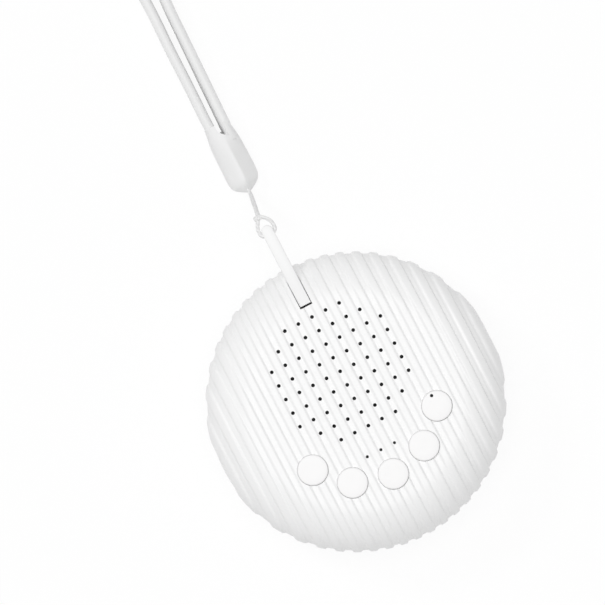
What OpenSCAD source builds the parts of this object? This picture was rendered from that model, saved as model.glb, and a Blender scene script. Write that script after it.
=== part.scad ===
/* [Body] */
// Diameter of the round body over its ribs
body_d = 79; // [76:0.5:90]
// Height of the body from its back to the rib crests
body_h = 31.2; // [30.5:0.1:36]
// Radius of the front edge
front_round = 12; // [9:0.5:12.5]
// Radius of the back edge
back_round = 10; // [7:0.5:10.5]
// Thickness of the shell walls below the ribs
wall = 2; // [1.6:0.1:2.3]
// Height of the front shell from its parting line to the rib crests
front_h = 19; // [18.5:0.5:19.5]
// Height of the centring lip on the rear shell
lip_h = 1.6; // [1:0.1:2.2]
// Thickness of the centring lip
lip_t = 1; // [0.8:0.1:1.4]

/* [Ribs] */
// Distance from one rib to the next
rib_pitch = 4; // [3.5:0.1:5]
// Width of each raised rib
rib_w = 2; // [1.4:0.1:2.6]
// Height of the ribs over the shell
rib_h = 0.5; // [0.3:0.05:0.7]
// Sideways place of the ribs' right edges from the middle
rib_shift = -0.92; // [-2:0.02:2]

/* [Sound holes] */
// Distance between neighbouring sound holes
hole_pitch = 4; // [3.6:0.1:4.3]
// Diameter of a sound hole
hole_d = 1.1; // [0.8:0.1:1.6]
// Place of the speaker and its holes above the middle of the face
speaker_y = 9.1; // [8:0.1:9.4]

/* [Buttons] */
// Radius of the arc that the buttons stand on
button_arc = 21.1; // [20.5:0.1:23]
// Angle between neighbouring buttons
button_step = 30; // [28:0.5:33]
// Diameter of a button cap
button_d = 7.8; // [7:0.1:8.2]
// Height of a cap above the rib crests
button_proud = 0.25; // [0:0.05:0.6]
// Width of the retaining flange round a cap
button_flange_w = 1.1; // [0.8:0.1:1.3]
// Thickness of the retaining flange
button_flange_t = 0.8; // [0.6:0.1:1.2]
// Diameter of the stem that presses the switch
button_stem_d = 3.2; // [2.4:0.1:4]
// Travel of a button
button_travel = 0.35; // [0.2:0.05:0.45]
// Gap round a button cap
button_gap = 0.3; // [0.2:0.05:0.4]
// Diameter of the light hole in the power button
power_hole_d = 0.9; // [0.6:0.1:1.2]
// Place of that hole above the middle of its cap
power_hole_y = 3; // [2:0.1:3.1]

/* [Lights] */
// Distance between neighbouring light holes
light_pitch = 4; // [3:0.1:4.5]
// Diameter of a light hole
light_hole_d = 0.9; // [0.6:0.1:1.4]
// Place of the light holes below the middle of the face
light_y = 14; // [13.6:0.1:14.4]
// Size of a light-emitting diode
led_size = 1.6; // [1:0.1:2]

/* [Speaker] */
// Diameter of the speaker
speaker_d = 36; // [34:0.5:37]
// Thickness of the speaker's steel flange
speaker_flange_t = 1; // [0.8:0.1:1.4]
// Depth of the basket below the flange
basket_h = 6; // [5:0.5:6.5]
// Diameter of the magnet
magnet_d = 18; // [15:0.5:22]
// Height of the magnet
magnet_h = 4; // [3:0.5:4.5]
// Width of the foam gasket ring
gasket_w = 2.4; // [1.6:0.2:2.4]
// Thickness of the foam gasket ring
gasket_t = 0.8; // [0.5:0.1:1.2]
// Thickness of the dust cloth behind the sound holes
cloth_t = 0.3; // [0.2:0.1:0.6]

/* [Board] */
// Gap between the board's outer edge and the side wall
board_gap = 3.5; // [2.5:0.5:4.5]
// Thickness of the board
board_t = 1.6; // [1:0.1:2]
// Depth of the board's front below the rib crests
board_drop = 10.5; // [10:0.1:11.2]
// Side of a push switch
switch_side = 5; // [4.2:0.1:5.1]
// Height of a push switch without its plunger
switch_h = 3.5; // [3:0.1:3.8]
// Diameter of a switch plunger
plunger_d = 3.3; // [2.4:0.1:4]
// Height that a plunger stands out of its switch
plunger_out = 1; // [0.7:0.1:1.2]

/* [Charging socket] */
// Width of the socket
usb_w = 8.94; // [8.9:0.01:9.2]
// Height of the socket
usb_h = 3.26; // [3.2:0.01:3.4]
// Length of the socket
usb_l = 7.35; // [6.5:0.05:8]
// Thickness of the socket's steel
usb_wall = 0.3; // [0.25:0.05:0.4]
// Gap between the socket and the edge of its window
usb_gap = 0.4; // [0.2:0.05:0.8]

/* [Battery] */
// Width of the battery
battery_w = 30; // [24:0.5:31]
// Length of the battery
battery_l = 42; // [34:0.5:46]
// Thickness of the battery
battery_t = 6; // [4:0.5:7]
// Thickness of the sticky pad under the battery
pad_t = 0.5; // [0.3:0.1:1]

/* [Screws and feet] */
// Diameter of the case screws
case_screw_d = 2.6; // [2:0.1:3]
// Diameter of the case screws' heads
case_head_d = 4.6; // [4.2:0.1:5]
// Length of a case screw under its head
case_screw_l = 13; // [10:0.5:15]
// Depth of a case screw's seat above the back
case_seat = 3.4; // [3:0.1:5]
// Diameter of the case screw posts
post_d = 6.4; // [6:0.1:6.8]
// Diameter of the board and speaker screws
small_screw_d = 2; // [1.6:0.1:2.3]
// Diameter of the board and speaker screws' heads
small_head_d = 3.8; // [3.4:0.1:4.2]
// Diameter of the board and speaker bosses
boss_d = 4.4; // [4:0.1:4.8]
// Diameter of a rubber foot
foot_d = 10; // [8:0.5:11]
// Height that a foot stands out of the back
foot_out = 0.8; // [0.6:0.1:1.5]
// Depth of the pocket that a foot is stuck in
foot_pocket = 0.8; // [0.5:0.1:1.2]

/* [Strap] */
// Width of the strap slot in the face
slot_w = 3.5; // [3.2:0.1:4.2]
// Place of the slot's inner end above the middle of the face
slot_y = 28.2; // [28.2:0.1:29]
// Depth of the slot below the rib crests
slot_depth = 4.4; // [4.2:0.1:5]
// Width of the strap tab
tab_w = 2.9; // [2.4:0.1:2.9]
// Thickness of the strap tab
tab_t = 2.2; // [2:0.1:2.4]
// Length of the tab from its pin to the string eye
tab_l = 19.3; // [17:0.1:22]
// Diameter of the steel strap pin
pin_d = 1.5; // [1.2:0.1:1.6]
// Length of the strap pin
pin_l = 7; // [6:0.1:8]
// Diameter of the lanyard string
string_d = 1; // [0.8:0.1:1.1]
// Width of the wrist band, which stands on its edge
band_w = 7.4; // [6:0.1:7.6]
// Thickness of the wrist band
band_t = 2.7; // [2:0.1:2.8]
// Width of the moulded strap end
end_w = 8.9; // [8:0.1:10]
// Height of the moulded strap end
end_h = 7.8; // [7.6:0.1:7.8]

/* [Hidden] */

$fn = 64;
// Overlap that lets a cut run clean through a face
cut = 1;
// Gap between pieces that sit close without touching
seat_gap = 0.3;
// Radial clearance of a pin or screw in its hole
running_gap = 0.06;
// Depth that inside posts reach into the shell they stand on
root = 0.4;

// Heights over the table
back_z = foot_out;
top_z = back_z + body_h;
base_z = top_z - rib_h;
ceiling_z = base_z - wall;
floor_z = back_z + rib_h + wall;
body_r = body_d / 2;
seam_z = top_z - front_h;
inner_r = body_r - rib_h - wall;
back_flat_r = body_r - back_round;

// Case screws and feet
post_ring = 27;
post_angles = [45, 135, 225, 315];
foot_ring = back_flat_r - foot_d / 2 - 1.5;
foot_angles = [0, 90, 180, 270];
case_head_h = 1.8;
case_seat_z = back_z + case_seat;
head_gap = 0.2;

// Buttons
button_angles = [for (i = [-2 : 2]) 270 + i * button_step];
cap_top_z = top_z + button_proud;
flange_top_z = ceiling_z - seat_gap;
flange_z = flange_top_z - button_flange_t;

// Board and switches
board_top_z = top_z - board_drop;
board_z = board_top_z - board_t;
switch_top_z = board_top_z + switch_h;
plunger_top_z = switch_top_z + plunger_out;
plunger_seat = 0.6;
switch_well = plunger_seat + button_travel + 0.2;
led_h = 0.8;
led_depth = led_size / 2;
power_led = button_at(4) + [0, power_hole_y];
board_margin = 1;
board_edge_y = power_led[1] + board_margin;
board_r = inner_r - board_gap;
small_head_h = 1.5;
small_screw_l = 6;
board_boss_ring = board_r - boss_d;
board_boss_places = [for (a = [199, 255, 285, 341]) board_boss_ring * [cos(a), sin(a)]];
chip_size = [5, 3.9, 1.6];
chip_places = [[-7.5, -button_arc], [7.5, -button_arc]];
charge_place = [0, -light_y - led_size];
charge_size = [3, 3, 1];
capacitor_place = [14.5, 1 - light_y];
capacitor_d = 5;
capacitor_h = 5.4;
plug_place = [-14.5, 1 - light_y];
plug_size = [6, 4.5, 4];

// Speaker stack, hung from the ceiling
gasket_top_z = ceiling_z - cloth_t;
speaker_z = gasket_top_z - gasket_t;
speaker_r = speaker_d / 2;
collar_t = 1.2;
collar_h = cloth_t + gasket_t + speaker_flange_t;
cone_r = speaker_r - 5;
frame_inner_r = speaker_r - 2.4;
frame_t = 0.8;
coil_r = 4.2;
coil_t = 0.35;
pole_r = coil_r - 0.35;
plate_t = 1.2;
washer_d = 6.4;
washer_t = 0.6;
speaker_boss_ring = speaker_r + seat_gap + boss_d / 2;
speaker_boss_angles = [0, 180, 215, 325];

// Charging socket
usb_mouth_y = -body_r + 1;
usb_z = board_z - usb_h / 2;
usb_depth = usb_l - 1.1;

// Battery, a little below the middle to clear the strap slot
battery_y = -1;

// Strap
eye_r = pin_d / 2 + 0.85;
slot_floor_z = top_z - slot_depth;
pin_y = slot_y + seat_gap + eye_r;
pin_z = slot_floor_z + seat_gap + eye_r;
string_eye_y = pin_y + tab_l;
block_half = pin_l / 2 + 0.8;
slot_back = 0.7;
slot_floor_t = 1.4;
strap_z = end_h / 2;
end_x = 0.5;
end_start_y = 62;
end_l = 19.6;

// Route of the lanyard string: out of the moulded end, up to the tab, through its eye and back underneath
string_route = [
    [0.6, 64.6, 4.8], [0.6, 62.7, 5], [0.55, 61.4, 6.2], [0.4, 60.4, 8.3], [0.25, 59.45, 12.1],
    [0.1, 58.35, 17.1], [-0.05, 57.15, 22.1], [-0.2, 56.1, 26.2], [-0.3, 55, 28.9], [0.6, 54.2, 29.5],
    [1.5, 53.3, 29.5], [2.1, 52.1, 29.5], [2.2, 50.6, 29.5], [1.6, 49.6, 29.5], [0, 49.4, 29.5],
    [-1.6, 49.6, 29.5], [-2.1, 50.7, 29.5], [-1.9, 52.2, 29.5], [-1.3, 53.4, 29.3], [-0.7, 54.3, 28.2],
    [-0.3, 55, 25.9], [-0.1, 56, 21.8], [0.1, 57.25, 16.9], [0.25, 58.35, 11.9], [0.4, 59.4, 7.7],
    [0.55, 60.6, 5], [0.6, 62.5, 3.8], [0.6, 64.6, 3.6]
];
knot_at = [-0.7, 54.6, 28.7];
knot_d = 2.4;

// Route of the wrist band, out along the left limb and back along the right one
band_route = [
    [-0.9, 76, 3.9], [-1.1, 84, 3.9], [-1.2, 93, 3.9], [-1, 105, 3.9], [-0.6, 117, 3.9], [-1.2, 129, 3.9],
    [-3.6, 141, 3.9], [-7.2, 153, 3.9], [-10.4, 165, 3.9], [-12, 177, 3.9], [-10.4, 188, 3.9],
    [-4.6, 196.6, 3.9], [3, 199.8, 3.9], [10.6, 196.6, 3.9], [16.4, 188, 3.9], [18, 177, 3.9],
    [16.2, 165, 3.9], [12.6, 153, 3.9], [8.4, 141, 3.9], [5.4, 129, 3.9], [4, 117, 3.9],
    [3.4, 105, 3.9], [3, 93, 3.9], [2.8, 84, 3.9], [2.7, 76, 3.9]
];

function button_at(i) = button_arc * [cos(button_angles[i]), sin(button_angles[i])];
function unit(v) = v / norm(v);
function clamp_index(i, n) = min(max(i, 0), n - 1);

// Point a share t of the way along the smooth curve through p[i] and p[i + 1]
function curve_point(p, i, t) =
    let (a = p[clamp_index(i - 1, len(p))], b = p[i], c = p[i + 1], d = p[clamp_index(i + 2, len(p))])
    0.5 * (2 * b + (c - a) * t + (2 * a - 5 * b + 4 * c - d) * t * t + (3 * b - a - 3 * c + d) * t * t * t);

function smooth_route(p, steps) = concat(
    [for (i = [0 : len(p) - 2]) for (s = [0 : steps - 1]) curve_point(p, i, s / steps)],
    [p[len(p) - 1]]
);

// Solid with one section swept along a route; up is never parallel to the route
module swept(route, section, up) {
    rings = len(route);
    sides = len(section);
    points = [
        for (i = [0 : rings - 1])
            let (
                along = unit(route[clamp_index(i + 1, rings)] - route[clamp_index(i - 1, rings)]),
                side = unit(cross(along, up)),
                rise = cross(side, along)
            )
            for (s = section) route[i] + side * s[0] + rise * s[1]
    ];
    walls = [
        for (i = [0 : rings - 2]) for (j = [0 : sides - 1])
            let (k = (j + 1) % sides)
            [i * sides + j, i * sides + k, (i + 1) * sides + k, (i + 1) * sides + j]
    ];
    first = [for (j = [sides - 1 : -1 : 0]) j];
    last = [for (j = [0 : sides - 1]) (rings - 1) * sides + j];
    polyhedron(points, concat(walls, [first, last]), convexity = 6);
}

// Round body's half section, set in from the rib crests
module body_section(inset) {
    translate([0, back_z + back_round]) square([body_r - inset, body_h - back_round - front_round]);
    translate([0, top_z - front_round - cut]) square([body_r - front_round, front_round - inset + cut]);
    translate([0, back_z + inset]) square([back_flat_r, back_round - inset + cut]);
    translate([body_r - front_round, top_z - front_round]) circle(front_round - inset);
    translate([back_flat_r, back_z + back_round]) circle(back_round - inset);
}

module round_body(inset) {
    rotate_extrude($fn = 96) body_section(inset);
}

// The whole closed body: plain under the grooves, crest height under the straight parallel ribs
module ribbed_body() {
    rib_count = ceil(body_r / rib_pitch);
    round_body(rib_h);
    translate([0, 0, back_z]) cylinder(r = back_flat_r, h = back_round);
    intersection() {
        round_body(0);
        for (k = [-rib_count : rib_count + 1]) {
            translate([rib_shift + k * rib_pitch - rib_w, -body_r, 0]) cube([rib_w, body_d, top_z + cut]);
        }
    }
}

// Keeps what is drawn inside the shell and roots it in the wall
module inside_shell() {
    intersection() {
        round_body(rib_h + wall - root);
        children();
    }
}

module at_posts(height) {
    for (a = post_angles) rotate(a) translate([post_ring, 0, height]) rotate(-a) children();
}

module at_board_bosses(height) {
    for (p = board_boss_places) translate([p[0], p[1], height]) children();
}

module at_speaker_bosses(height) {
    translate([0, speaker_y, height]) {
        for (a = speaker_boss_angles) rotate(a) translate([speaker_boss_ring, 0, 0]) children();
    }
}

// Nine rows of holes on a square grid: 5, 7, 9, 9, 9, 9, 9, 7 and 5
module sound_holes() {
    rows = [2, 3, 4, 4, 4, 4, 4, 3, 2];
    for (j = [0 : len(rows) - 1]) for (i = [-rows[j] : rows[j]]) {
        translate([i * hole_pitch, speaker_y + (j - 4) * hole_pitch, ceiling_z - cut]) {
            cylinder(d = hole_d, h = wall + rib_h + 2 * cut, $fn = 16);
        }
    }
}

module light_holes() {
    for (i = [-1 : 1]) {
        translate([i * light_pitch, -light_y, ceiling_z - cut]) {
            cylinder(d = light_hole_d, h = wall + rib_h + 2 * cut, $fn = 16);
        }
    }
}

module button_holes() {
    for (i = [0 : 4]) {
        translate(concat(button_at(i), ceiling_z - cut)) {
            cylinder(d = button_d + 2 * button_gap, h = wall + rib_h + 2 * cut);
        }
    }
}

module strap_slot() {
    translate([-slot_w / 2, slot_y, slot_floor_z]) cube([slot_w, body_r, slot_depth + cut]);
    translate([-pin_l / 2, pin_y, pin_z]) rotate([0, 90, 0]) {
        cylinder(r = pin_d / 2 + running_gap, h = pin_l + cut);
    }
}

// Window in the side wall for the charging plug
module socket_window() {
    half = usb_w / 2 - usb_h / 2;
    round_d = usb_h + 2 * usb_gap;
    for (x = [-half, half]) {
        translate([x, -body_r - cut, usb_z]) rotate([-90, 0, 0]) cylinder(d = round_d, h = wall + rib_h + 2 * cut);
    }
    translate([-half, -body_r - cut, usb_z - round_d / 2]) cube([2 * half, wall + rib_h + 2 * cut, round_d]);
}

module speaker_collar() {
    collar_r = speaker_r + seat_gap;
    translate([0, speaker_y, ceiling_z - collar_h]) difference() {
        cylinder(r = collar_r + collar_t, h = collar_h + root);
        translate([0, 0, -cut]) cylinder(r = collar_r, h = collar_h + cut);
    }
}

module front_shell() {
    pillar_h = ceiling_z + root;
    speaker_boss_z = speaker_z - speaker_flange_t;
    color("#fafafa") difference() {
        union() {
            difference() {
                ribbed_body();
                round_body(rib_h + wall);
                translate([0, 0, seam_z - body_h]) cylinder(r = body_d, h = body_h);
            }
            inside_shell() union() {
                at_posts(seam_z) cylinder(d = post_d, h = pillar_h - seam_z);
                at_board_bosses(board_top_z) cylinder(d = boss_d, h = pillar_h - board_top_z);
                at_speaker_bosses(speaker_boss_z) cylinder(d = boss_d, h = pillar_h - speaker_boss_z);
                speaker_collar();
                translate([-block_half, slot_y - slot_back, slot_floor_z - slot_floor_t]) {
                    cube([2 * block_half, body_r, top_z]);
                }
            }
        }
        translate([0, speaker_y, 0]) cylinder(r = speaker_r + seat_gap, h = ceiling_z);
        sound_holes();
        light_holes();
        button_holes();
        strap_slot();
        socket_window();
        at_posts(seam_z - cut) cylinder(r = case_screw_d / 2 + running_gap, h = case_screw_l);
        at_board_bosses(board_top_z - cut) cylinder(r = small_screw_d / 2 + running_gap, h = small_screw_l);
        at_speaker_bosses(speaker_boss_z - cut) cylinder(r = small_screw_d / 2 + running_gap, h = wall + cut);
    }
}

module rear_shell() {
    lip_r = inner_r - 2 * running_gap;
    color("#f6f6f6") difference() {
        union() {
            difference() {
                ribbed_body();
                round_body(rib_h + wall);
                translate([0, 0, seam_z]) cylinder(r = body_d, h = body_h);
            }
            inside_shell() at_posts(back_z) cylinder(d = post_d, h = seam_z - back_z);
            difference() {
                union() {
                    translate([0, 0, seam_z - lip_h]) cylinder(r = inner_r + root, h = lip_h);
                    translate([0, 0, seam_z - lip_h]) cylinder(r = lip_r, h = 2 * lip_h);
                }
                translate([0, 0, seam_z - lip_h - cut]) cylinder(r = lip_r - lip_t, h = 2 * lip_h + 2 * cut);
            }
        }
        at_posts(back_z - cut) cylinder(d = case_head_d + 2 * head_gap, h = case_seat + cut);
        at_posts(back_z) cylinder(r = case_screw_d / 2 + running_gap, h = seam_z);
        at_feet(back_z - cut) cylinder(d = foot_d + seat_gap, h = foot_pocket + cut);
    }
}

module at_feet(height) {
    for (a = foot_angles) rotate(a) translate([foot_ring, 0, height]) children();
}

// Four stuck-on rubber pads with a rounded lower edge
module rubber_feet() {
    edge = foot_out / 2;
    color("#e4e4e2") at_feet(0) rotate_extrude() {
        translate([0, edge]) square([foot_d / 2, foot_out + foot_pocket - edge]);
        square([foot_d / 2 - edge, edge + foot_pocket]);
        translate([foot_d / 2 - edge, edge]) circle(edge);
    }
}

// Cross-recessed screw standing on its head
module pan_screw(head_d, head_h, shank_d, length) {
    recess_w = head_d / 6;
    difference() {
        union() {
            cylinder(d = head_d, h = head_h);
            cylinder(d = shank_d, h = head_h + length);
        }
        for (a = [0, 90]) {
            rotate(a) translate([-head_d / 3, -recess_w / 2, -cut]) cube([head_d / 1.5, recess_w, cut + head_h / 2]);
        }
    }
}

module case_screws() {
    color("silver") at_posts(case_seat_z - case_head_h) {
        pan_screw(case_head_d, case_head_h, case_screw_d, case_screw_l);
    }
}

// One button cap with its retaining flange and stem; the power button has a light hole
module button(i) {
    color("#fbfbfb") translate(concat(button_at(i), 0)) difference() {
        union() {
            translate([0, 0, flange_z]) cylinder(d = button_d, h = cap_top_z - flange_z);
            translate([0, 0, flange_z]) cylinder(d = button_d + 2 * button_flange_w, h = button_flange_t);
            translate([0, 0, plunger_top_z]) cylinder(d = button_stem_d, h = flange_z - plunger_top_z + cut);
        }
        if (i == 4) {
            translate([0, power_hole_y, flange_z - cut]) {
                cylinder(d = power_hole_d, h = cap_top_z - flange_z + 2 * cut, $fn = 16);
            }
        }
    }
}

module plunger(i) {
    color("#303030") translate(concat(button_at(i), switch_top_z - plunger_seat)) {
        cylinder(d = plunger_d, h = plunger_seat + plunger_out);
    }
}

// Five push switches, each with a well that its plunger works in and four legs
module push_switches() {
    leg = 0.7;
    color("dimgray") for (i = [0 : 4]) translate(concat(button_at(i), board_top_z)) difference() {
        union() {
            translate([-switch_side / 2, -switch_side / 2, 0]) cube([switch_side, switch_side, switch_h]);
            for (x = [-1, 1]) {
                translate([x * switch_side / 4 - leg / 2, -switch_side / 2 - leg, 0]) {
                    cube([leg, switch_side + 2 * leg, leg / 2]);
                }
            }
        }
        translate([0, 0, switch_h - switch_well]) cylinder(r = plunger_d / 2 + seat_gap, h = switch_well + cut);
    }
}

// Crescent board below the speaker, cleared round the lower case posts
module main_board() {
    notch_r = post_d / 2 + seat_gap;
    color("#1f6b3a") difference() {
        translate([0, 0, board_z]) cylinder(r = board_r, h = board_t);
        translate([-body_r, board_edge_y, 0]) cube([body_d, body_d, top_z]);
        translate([0, speaker_y, 0]) cylinder(r = speaker_r + collar_t + 2 * seat_gap, h = top_z);
        at_posts(0) cylinder(r = notch_r, h = top_z);
        for (a = post_angles) rotate(a) translate([post_ring, -notch_r, 0]) {
            cube([body_r, 2 * notch_r, top_z]);
        }
        at_board_bosses(0) cylinder(r = small_screw_d / 2 + running_gap, h = top_z);
    }
}

module board_screws() {
    color("silver") at_board_bosses(board_z - small_head_h) {
        pan_screw(small_head_d, small_head_h, small_screw_d, small_screw_l - small_head_h);
    }
}

// Three diodes under the light holes and one under the power button
module status_leds() {
    color("ivory") {
        for (i = [-1 : 1]) led([i * light_pitch, -light_y]);
        led(power_led);
    }
}

module led(place) {
    translate([place[0] - led_size / 2, place[1] - led_depth / 2, board_top_z]) {
        cube([led_size, led_depth, led_h]);
    }
}

// Black block with three wells that keeps the lights apart
module led_shroud() {
    well_r = led_size / 2 + seat_gap;
    block_l = 2 * light_pitch + 2 * well_r + collar_t;
    block_w = 2 * well_r + collar_t;
    color("#181818") difference() {
        translate([-block_l / 2, -light_y - block_w / 2, board_top_z]) {
            cube([block_l, block_w, ceiling_z - board_top_z]);
        }
        for (i = [-1 : 1]) {
            translate([i * light_pitch, -light_y, board_top_z - cut]) cylinder(r = well_r, h = top_z);
        }
    }
}

// Chip with legs along two sides, soldered under the board
module chip(place, size) {
    leg = 0.4;
    leg_pitch = 1.27;
    legs = floor(size[0] / leg_pitch);
    color("#202020") translate([place[0], place[1], board_z - size[2]]) {
        translate([-size[0] / 2, -size[1] / 2, 0]) cube(size);
        for (k = [0 : legs - 1]) {
            translate([(k - (legs - 1) / 2) * leg_pitch - leg / 2, -size[1] / 2 - 2 * leg, size[2] - leg]) {
                cube([leg, size[1] + 4 * leg, leg]);
            }
        }
    }
}

module audio_chip() {
    chip(chip_places[0], chip_size);
}

module amplifier_chip() {
    chip(chip_places[1], chip_size);
}

module charge_chip() {
    chip(charge_place, charge_size);
}

module capacitor() {
    foot_t = 1;
    color("silver") translate(concat(capacitor_place, board_z - capacitor_h)) {
        cylinder(d = capacitor_d, h = capacitor_h);
        translate([-capacitor_d / 2, -capacitor_d / 2, capacitor_h - foot_t]) {
            cube([capacitor_d, capacitor_d, foot_t]);
        }
    }
}

// White two-pole plug and its header under the board
module battery_connector() {
    pole_d = 1;
    color("ivory") translate(concat(plug_place, board_z - plug_size[2])) difference() {
        translate([-plug_size[0] / 2, -plug_size[1] / 2, 0]) cube(plug_size);
        for (x = [-1, 1]) translate([x * plug_size[0] / 6, -plug_size[1] / 2 - cut, plug_size[2] / 2]) {
            rotate([-90, 0, 0]) cylinder(d = pole_d, h = 2 * cut, $fn = 16);
        }
    }
}

// Steel socket shell, open at its mouth, with the contact tongue inside
module usb_c_socket() {
    tongue_w = usb_w - 2.3;
    tongue_t = 0.7;
    color("silver") translate([0, usb_mouth_y, usb_z]) rotate([-90, 0, 0]) {
        difference() {
            socket_bar(usb_w, usb_h, usb_l);
            translate([0, 0, -cut]) socket_bar(usb_w - 2 * usb_wall, usb_h - 2 * usb_wall, usb_depth + cut);
        }
        translate([-tongue_w / 2, -tongue_t / 2, usb_l - usb_depth]) cube([tongue_w, tongue_t, usb_depth - usb_wall]);
    }
}

// Bar with fully rounded ends, standing on its section
module socket_bar(w, h, l) {
    half = (w - h) / 2;
    for (x = [-half, half]) translate([x, 0, 0]) cylinder(d = h, h = l);
    translate([-half, -h / 2, 0]) cube([2 * half, h, l]);
}

// Pouch cell with softly rounded long edges
module battery() {
    edge = battery_t / 2;
    color("#b8bcc4") translate([0, battery_y, floor_z + pad_t + battery_t / 2]) rotate([90, 0, 0]) {
        translate([0, 0, -battery_l / 2]) {
            for (x = [-1, 1]) translate([x * (battery_w / 2 - edge), 0, 0]) cylinder(r = edge, h = battery_l);
            translate([edge - battery_w / 2, -edge, 0]) cube([battery_w - 2 * edge, battery_t, battery_l]);
        }
    }
}

module battery_pad() {
    pad_w = battery_w - battery_t;
    color("#d8d8d0") translate([-pad_w / 2, battery_y - battery_l / 2, floor_z]) cube([pad_w, battery_l, pad_t]);
}

module at_speaker(depth) {
    translate([0, speaker_y, speaker_z - depth]) children();
}

module ring(outer, inner, h) {
    difference() {
        cylinder(r = outer, h = h);
        translate([0, 0, -cut]) cylinder(r = inner, h = h + 2 * cut);
    }
}

module dust_cloth() {
    color("#151515") translate([0, speaker_y, gasket_top_z]) cylinder(r = speaker_r, h = cloth_t);
}

module speaker_gasket() {
    color("#2a2a2a") at_speaker(0) ring(speaker_r, speaker_r - gasket_w, gasket_t);
}

// Pressed steel flange and basket with four windows
module speaker_frame() {
    bottom = speaker_flange_t + basket_h;
    window = speaker_d / 4;
    color("#8a8d90") at_speaker(0) difference() {
        rotate_extrude($fn = 96) polygon([
            [frame_inner_r, 0], [speaker_r, 0], [speaker_r, -speaker_flange_t],
            [frame_inner_r + frame_t, -speaker_flange_t], [magnet_d / 2 + 3 * frame_t, -bottom],
            [coil_r + 2 * coil_t, -bottom], [coil_r + 2 * coil_t, frame_t - bottom],
            [magnet_d / 2 + 2 * frame_t, frame_t - bottom], [frame_inner_r, -speaker_flange_t]
        ]);
        for (a = [45 : 90 : 315]) rotate(a) {
            translate([magnet_d / 2 + 3 * frame_t + seat_gap, -window / 2, 1.4 * frame_t - bottom]) {
                cube([speaker_d, window, basket_h - 2.4 * frame_t]);
            }
        }
    }
}

// Rubber half roll between the cone and the flange
module speaker_surround() {
    roll = (frame_inner_r - cone_r) / 2;
    color("#202020") at_speaker(frame_t) rotate_extrude($fn = 96) difference() {
        union() {
            translate([cone_r + roll, 0]) circle(roll);
        }
        translate([cone_r + roll, 0]) circle(roll - coil_t);
        translate([0, -speaker_d]) square([speaker_d, speaker_d]);
    }
}

module speaker_cone() {
    low = 4;
    color("#3a3a3c") at_speaker(frame_t) rotate_extrude($fn = 96) polygon([
        [coil_r + coil_t, -low], [cone_r + coil_t, -coil_t], [cone_r + 2 * coil_t, -coil_t],
        [cone_r + 2 * coil_t, 0], [cone_r, 0], [coil_r + coil_t, coil_t - low]
    ]);
}

// Shallow dome glued over the voice coil
module speaker_dust_cap() {
    dome_r = 7;
    drop = 3.1;
    color("#2c2c2e") at_speaker(drop + frame_t) intersection() {
        translate([0, 0, -4.9]) difference() {
            sphere(dome_r);
            sphere(dome_r - coil_t);
        }
        cylinder(r = coil_r + 1.4, h = dome_r);
    }
}

module voice_coil() {
    color("#b87333") at_speaker(speaker_flange_t + basket_h + 3) ring(coil_r + coil_t / 2, coil_r, basket_h + 0.2);
}

module speaker_top_plate() {
    color("silver") at_speaker(speaker_flange_t + basket_h + plate_t) {
        ring(magnet_d / 2 - 1, coil_r + 2 * coil_t, plate_t);
    }
}

module speaker_magnet() {
    color("#26282b") at_speaker(speaker_flange_t + basket_h + plate_t + magnet_h) {
        ring(magnet_d / 2, coil_r + 4 * coil_t, magnet_h);
    }
}

module speaker_yoke() {
    color("silver") at_speaker(speaker_flange_t + basket_h + 2 * plate_t + magnet_h) {
        cylinder(r = magnet_d / 2 - 0.5, h = plate_t);
        cylinder(r = pole_r, h = 2 * plate_t + magnet_h);
    }
}

module speaker_washers() {
    color("silver") at_speaker_bosses(speaker_z - speaker_flange_t - washer_t) {
        ring(washer_d / 2, small_screw_d / 2 + running_gap, washer_t);
    }
}

module speaker_screws() {
    length = washer_t + speaker_flange_t + wall - 3 * root;
    color("silver") at_speaker_bosses(speaker_z - speaker_flange_t - washer_t - small_head_h) {
        pan_screw(small_head_d, small_head_h, small_screw_d, length);
    }
}

module strap_pin() {
    color("silver") translate([-pin_l / 2, pin_y, pin_z]) rotate([0, 90, 0]) cylinder(d = pin_d, h = pin_l);
}

// Flat moulded tab: an eye on the pin at one end and a cross hole for the string at the other
module strap_tab() {
    color("#f2f2f2") difference() {
        union() {
            translate([-tab_w / 2, pin_y, pin_z - tab_t / 2]) cube([tab_w, tab_l, tab_t]);
            translate([-tab_w / 2, pin_y, pin_z]) rotate([0, 90, 0]) cylinder(r = eye_r, h = tab_w);
            translate([0, string_eye_y, pin_z - tab_t / 2]) cylinder(d = tab_w, h = tab_t);
        }
        translate([-tab_w, pin_y, pin_z]) rotate([0, 90, 0]) cylinder(r = pin_d / 2 + running_gap, h = 2 * tab_w);
        translate([-tab_w, string_eye_y, pin_z]) rotate([0, 90, 0]) {
            cylinder(r = string_d / 2 + running_gap, h = 2 * tab_w, $fn = 24);
        }
    }
}

module lanyard_string() {
    sides = 8;
    section = [for (j = [0 : sides - 1]) string_d / 2 * [cos(360 * j / sides), sin(360 * j / sides)]];
    color("#dcdcdc") swept(smooth_route(string_route, 2), section, [0, 0.87, 0.5]);
}

module string_knot() {
    color("#d8d8d8") translate(knot_at) scale(knot_d / 2) sphere(1, $fn = 32);
}

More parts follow.
